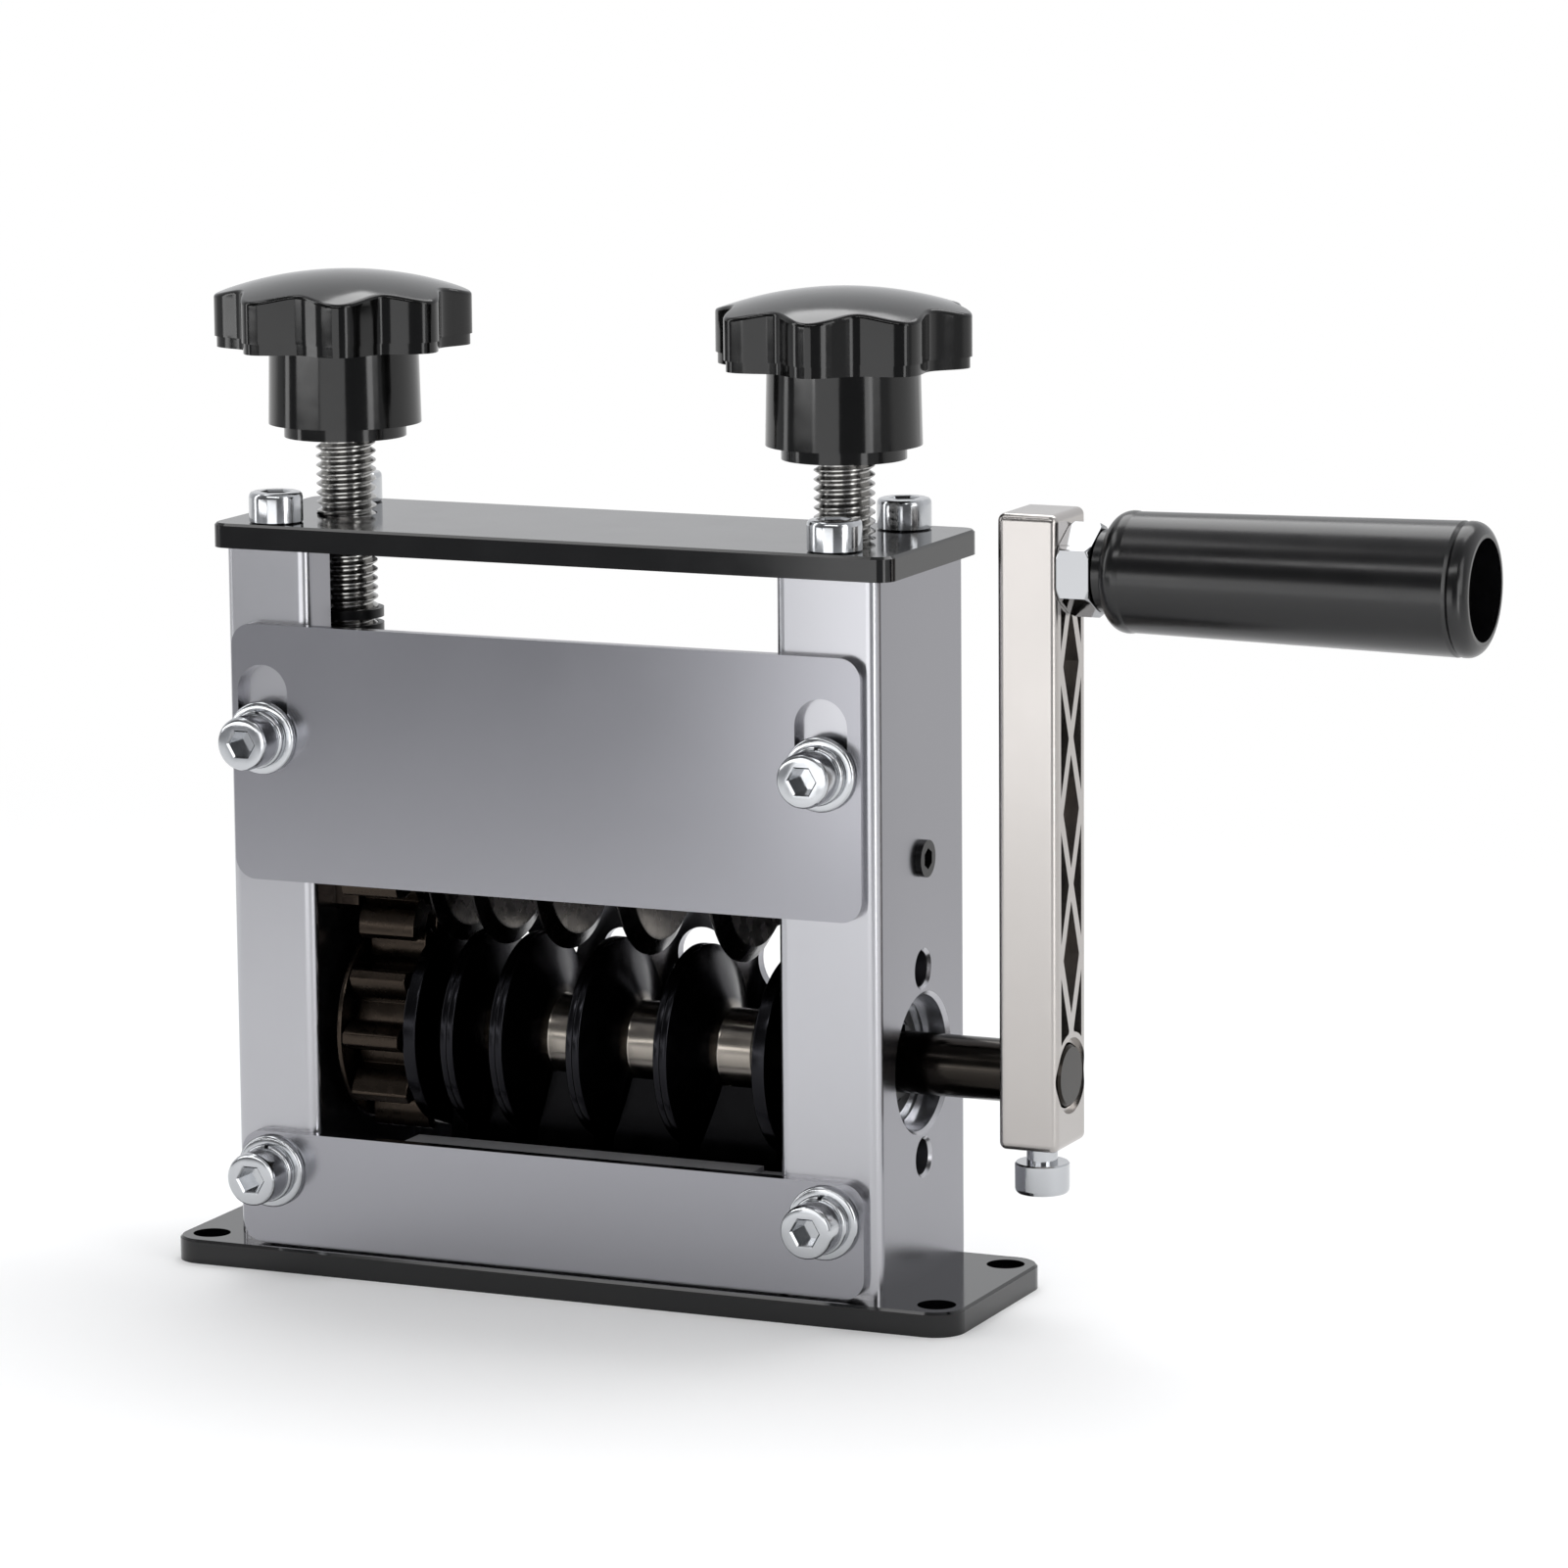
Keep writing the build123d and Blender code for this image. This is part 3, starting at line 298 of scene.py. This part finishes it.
def cap_screw(bm, length, place):
    """A socket head screw, its seat at the origin and its head up, moved by a matrix."""
    held = set(bm.verts)
    outline = [(0, -length), (shank_r - shank_chamfer, -length), (shank_r, shank_chamfer - length),
               (shank_r, 0), (head_r - 0.25, 0), (head_r, 0.25), (head_r, head_h - 0.9),
               (head_r - 0.1, head_h - 0.4), (head_r - 0.35, head_h - 0.1), (head_r - 0.7, head_h)]
    turned(bm, outline, (0, 0, 0))
    bmesh.ops.remove_doubles(bm, verts=[v for v in bm.verts if v not in held], dist=same_point)
    rim = [edge for edge in bm.edges if edge.is_boundary]
    mouth = bmesh.ops.create_circle(bm, segments=6, radius=mouth_r * MM,
                                    matrix=Matrix.Translation((0, 0, head_h * MM)))["verts"]
    hexagon = list({edge for corner in mouth for edge in corner.link_edges})
    bmesh.ops.triangle_fill(bm, edges=rim + hexagon, use_beauty=True)
    for drop, narrow in ((mouth_deep, socket_r / mouth_r), (socket_deep, 1.0)):
        walls = bmesh.ops.extrude_edge_only(bm, edges=hexagon)["geom"]
        corners = [item for item in walls if isinstance(item, bmesh.types.BMVert)]
        hexagon = [item for item in walls if isinstance(item, bmesh.types.BMEdge) and item.is_boundary]
        bmesh.ops.scale(bm, verts=corners, vec=(narrow, narrow, 1))
        bmesh.ops.translate(bm, verts=corners, vec=(0, 0, -drop * MM))
    bmesh.ops.holes_fill(bm, edges=hexagon)
    bmesh.ops.transform(bm, matrix=place, verts=[v for v in bm.verts if v not in held])


washer_hole_r = 2.7


def washer(bm, outer, thick, split, place):
    """A washer with rounded rims and a split in radians, its underside at the origin, then moved."""
    held = set(bm.verts)
    section = [(washer_hole_r, 0.1), (washer_hole_r + 0.1, 0), (outer - 0.3, 0), (outer - 0.05, 0.12),
               (outer, 0.35), (outer, thick - 0.45), (outer - 0.15, thick - 0.12), (outer - 0.45, thick),
               (washer_hole_r + 0.2, thick), (washer_hole_r, thick - 0.15)]
    loop = bm.faces.new([bm.verts.new((r * MM, 0, z * MM)) for r, z in section])
    bmesh.ops.spin(bm, geom=[loop] + loop.edges[:] + loop.verts[:], cent=(0, 0, 0), axis=(0, 0, 1),
                   angle=2 * pi - split, steps=round_steps)
    if not split:
        bmesh.ops.delete(bm, geom=[face for face in bm.faces if len(face.verts) == len(section)],
                         context="FACES_ONLY")
    bmesh.ops.transform(bm, matrix=place, verts=[v for v in bm.verts if v not in held])


def seats(node, way, radius, height):
    """The places of a node's screws or washers, faced one way, from the corners of its box.

    Along the way each place is a height below the far side. Across it, a narrow box holds one row in
    its middle, and a wide box has one place at each end.
    """
    low, high = (Vector(corner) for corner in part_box(node))
    choices = []
    for axis in range(3):
        if abs(way[axis]) > 0.5:
            choices.append([high[axis] - height * MM if way[axis] > 0 else low[axis] + height * MM])
        elif high[axis] - low[axis] < 3 * radius * MM:
            choices.append([(low[axis] + high[axis]) / 2])
        else:
            choices.append([low[axis] + radius * MM, high[axis] - radius * MM])
    turn = Vector(way).to_track_quat("Z", "X").to_matrix().to_4x4()
    return [Matrix.Translation((x, y, z)) @ turn for x in choices[0] for y in choices[1] for z in choices[2]]


bright_plate = finish("bright nickel plate on screws", "#bdbfc2", 1.0, 0.14)
vary(bright_plate, "Roughness", 1.5, 0.1, 0.18)
for node, way, body in (("top_plate_screws", (0, 0, 1), "frame"), ("cover_screws", (0, -1, 0), "frame"),
                        ("guard_screws", (0, -1, 0), "frame"), ("rear_plate_screws", (0, 1, 0), "frame"),
                        ("clamp_screw", (0, 0, -1), "drive")):
    low, high = (Vector(corner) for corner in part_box(node))
    length = abs((high - low).dot(Vector(way))) / MM - head_h
    bm = bmesh.new()
    for place in seats(node, way, head_r, head_h):
        cap_screw(bm, length, place)
    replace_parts(piece(node + "_dressed", bm, bright_plate, body, smooth_below=30), node)
for cover in ("cover", "guard"):
    for kind, outer, thick, split in (("flat", 6.0, 1.2, 0), ("spring", 4.75, 1.6, 0.16)):
        node = cover + "_" + kind + "_washers"
        bm = bmesh.new()
        for place in seats(node, (0, -1, 0), outer, thick):
            washer(bm, outer, thick, split, place)
        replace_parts(piece(node + "_dressed", bm, bright_plate, "frame", smooth_below=50), node)
paint(bright_plate, "handle_bolt", "handle_washer")
black_oxide = finish("black oxide on hardened screws", "#1a1a1b", 0.7, 0.32)
grain(black_oxide, 0.5, 0.01)
paint(black_oxide, "base_screws", "comb_screws", "grub_screws", "drive_circlips", "left_stop_rings",
      "right_stop_rings")


# ---------------------------------------------------------------- bearings
# Two sealed ball bearings pressed into the uprights behind circlips: bright ground steel rings
# with matt black rubber between them. The knife shaft runs in brown, oily sintered bushes.
ground_steel = finish("ground bearing steel", "#b9babd", 1.0, 0.18)
vary(ground_steel, "Roughness", 2.0, 0.12, 0.24)
seal_rubber = finish("nitrile rubber seal", "#0c0c0c", 0.0, 0.55)
grain(seal_rubber, 0.4, 0.01)
sintered_bronze = finish("oiled sintered bronze", "#7d6236", 1.0, 0.35)
grain(sintered_bronze, 0.3, 0.02)
paint(ground_steel, "bearing_outer_rings", "bearing_inner_rings", "bore_circlips")
paint(seal_rubber, "bearing_seals")
paint(sintered_bronze, "bearing_bushes")


# ---------------------------------------------------------------- gears, shafts, blocks
# Milled gears and blocks in oil blackened steel, their edges broken with a file, so each tooth
# shows a thin bright line. The shafts are ground, then blackened with them, and keyed.
def break_edges(width_mm, *names):
    """A small rounded bevel on every sharp edge of a CAD node, shaded by the area of its faces."""
    for name in names:
        weld = nodes[name].modifiers.new("join the facets", "WELD")
        weld.merge_threshold = 0.002 * MM
        bevel = nodes[name].modifiers.new("broken edge", "BEVEL")
        bevel.width = width_mm * MM
        bevel.segments = 2
        bevel.limit_method = "ANGLE"
        bevel.angle_limit = radians(35)
        shading = nodes[name].modifiers.new("flat faces stay flat", "WEIGHTED_NORMAL")
        shading.keep_sharp = True


gear_steel = finish("oil blackened gear steel", "#3a332d", 1.0, 0.26)
grain(gear_steel, 0.5, 0.006)
vary(gear_steel, "Roughness", 3.0, 0.2, 0.34)
paint(gear_steel, "drive_gear", "cutter_gear", "left_bearing_block", "right_bearing_block", "drive_key",
      "cutter_key")
break_edges(0.2, "drive_gear", "cutter_gear", "left_bearing_block", "right_bearing_block")
shaft_steel = finish("blackened ground shaft steel", "#2b2825", 1.0, 0.16)
vary(shaft_steel, "Roughness", 2.0, 0.13, 0.2)
paint(shaft_steel, "drive_shaft", "cutter_shaft", "left_drive_sleeve", "right_drive_sleeve",
      "cutter_spacers")


# ---------------------------------------------------------------- feed wheels, knives and comb
# Turned wheels in black oxide, rubbed bright at the roots of their grooves by use, and keyed on
# the drive shaft under their knives. The knives are bright where they are ground, and the comb,
# screwed to the bar below the wheels, is milled and blackened with a gloss.
def rub_bright(made, shaft, inner_colour, outer_colour, inner_r, outer_r):
    """Fade the colour between two distances in millimetres from a shaft's axis."""
    low, high = (Vector(corner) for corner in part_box(shaft))
    axis = (low + high) / 2 / MM
    tree = made.node_tree
    place = add(tree, "ShaderNodeTexCoord").outputs["Object"]
    across = (0, 1 / MM, 1 / MM)
    offset = add(tree, "ShaderNodeVectorMath", {0: place, 1: across, 2: (0, -axis.y, -axis.z)},
                 operation="MULTIPLY_ADD")
    away = add(tree, "ShaderNodeVectorMath", {0: offset.outputs[0]}, operation="LENGTH")
    share = add(tree, "ShaderNodeMapRange", {"Value": away.outputs["Value"], "From Min": inner_r,
                                             "From Max": outer_r})
    mix = add(tree, "ShaderNodeMix", {0: share.outputs[0], FIRST: linear(inner_colour),
                                      SECOND: linear(outer_colour)}, data_type="RGBA")
    tree.links.new(mix.outputs[MIXED], tree.nodes["Principled BSDF"].inputs["Base Color"])


wheels = ["feed_wheel_" + str(number) for number in range(1, 6)]
knives = ["blade_" + str(number) for number in range(1, 6)]
wheel_steel = finish("black oxide on turned steel", "#1c1c1e", 1.0, 0.2)
rub_bright(wheel_steel, "drive_shaft", "#9a948c", "#232326", 6.6, 8.2)
vary(wheel_steel, "Roughness", 3.0, 0.16, 0.26)
paint(wheel_steel, *wheels)
break_edges(0.25, *wheels)
knife_steel = finish("oiled tool steel, blackened and ground", "#2b2a2a", 1.0, 0.25)
rub_bright(knife_steel, "cutter_shaft", "#6e6963", "#2b2a2a", 12.4, 13.0)
vary(knife_steel, "Roughness", 3.0, 0.18, 0.34)
paint(knife_steel, *knives)
comb_steel = finish("gloss black oxide on milled steel", "#141415", 1.0, 0.2)
vary(comb_steel, "Roughness", 4.0, 0.16, 0.26)
paint(comb_steel, "scraper_comb")
break_edges(0.3, "scraper_comb")


# ---------------------------------------------------------------- press screws
# M10 x 1.5 screws in bright rolled steel, moulded into the knobs. The lower end is turned down to
# a neck and a round foot that hangs in the bearing block's T-slot, and the thread is one ridge
# wound round a plain core, so each turn has a bright crest over a dark root.
foot_r = 4.4
foot_h = 3.0
foot_edge = 0.3
neck_r = 3.2
neck_top = 5.8
core_r = 4.05
point_r = 3.4
point_h = 0.8
crest_r = 4.9
thread_pitch = 1.5
thread_turns = 40


def wound_ridge(bm, section, centre, pitch, turns):
    """Wind a closed (radius, height) section in millimetres up a vertical line through centre."""
    steps = 28
    ridge = bm.faces.new([bm.verts.new((centre[0] + r * MM, centre[1], z * MM)) for r, z in section])
    bmesh.ops.spin(bm, geom=[ridge], cent=centre, axis=(0, 0, 1), dvec=(0, 0, pitch * MM / steps),
                   angle=2 * pi * turns, steps=steps * turns)


thread_steel = finish("bright rolled steel thread", "#a9a8a6", 1.0, 0.2)
vary(thread_steel, "Roughness", 2.0, 0.16, 0.26)
for side in ("left", "right"):
    low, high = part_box(side + "_press_screw")
    centre = ((low[0] + high[0]) / 2, (low[1] + high[1]) / 2, 0)
    foot_z = low[2] / MM
    rod_z = foot_z + neck_top
    top_z = high[2] / MM
    bm = bmesh.new()
    turned(bm, [(0, foot_z), (foot_r - foot_edge, foot_z), (foot_r, foot_z + foot_edge),
                (foot_r, foot_z + foot_h - foot_edge), (foot_r - foot_edge, foot_z + foot_h),
                (neck_r, foot_z + foot_h), (neck_r, rod_z), (core_r, rod_z), (core_r, top_z - point_h),
                (point_r, top_z), (0, top_z)], centre)
    wound_ridge(bm, [(core_r - 0.1, rod_z + 0.1), (core_r - 0.1, rod_z + thread_pitch),
                     (crest_r, rod_z + 0.9), (crest_r, rod_z + 0.7)], centre, thread_pitch, thread_turns)
    screw = piece(side + "_threaded_screw", bm, thread_steel, side + "_knob_body", smooth_below=25)
    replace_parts(screw, side + "_press_screw")


# ---------------------------------------------------------------- knobs
# Star knobs moulded in black phenolic round the heads of the press screws: gloss all over, with a
# very slight sink in the thick lobes, which bends the long reflections.
phenolic = finish("gloss black phenolic moulding", "#040404", 0.0, 0.1, Specular_IOR_Level=0.4)
grain(phenolic, 4.0, 0.01, detail=1.0)
vary(phenolic, "Roughness", 6.0, 0.08, 0.14)
paint(phenolic, "left_knob", "right_knob")


# ---------------------------------------------------------------- crank and handle
# A die cast arm, tumbled to a warm satin and clamped on the drive shaft by one screw. Its handle is
# a moulded grip, black with a soft sheen, that turns on a bolt held by a mirror bright chrome nut.
alloy = finish("tumbled die cast alloy", "#b3afac", 1.0, 0.26)
vary(alloy, "Roughness", 20.0, 0.22, 0.27)
paint(alloy, "crank_arm")
chrome = finish("chrome plate on a hexagon nut", "#97989a", 1.0, 0.1)
vary(chrome, "Roughness", 3.0, 0.05, 0.12)
paint(chrome, "handle_nut")
break_edges(0.3, "handle_nut")
grip_plastic = finish("satin black moulded phenolic", "#070708", 0.0, 0.22)
grain(grip_plastic, 0.5, 0.004)
vary(grip_plastic, "Roughness", 8.0, 0.2, 0.25)
paint(grip_plastic, "handle_grip")


# ---------------------------------------------------------------- view
# Plain view colours.
bpy.context.scene.view_settings.view_transform = "Standard"
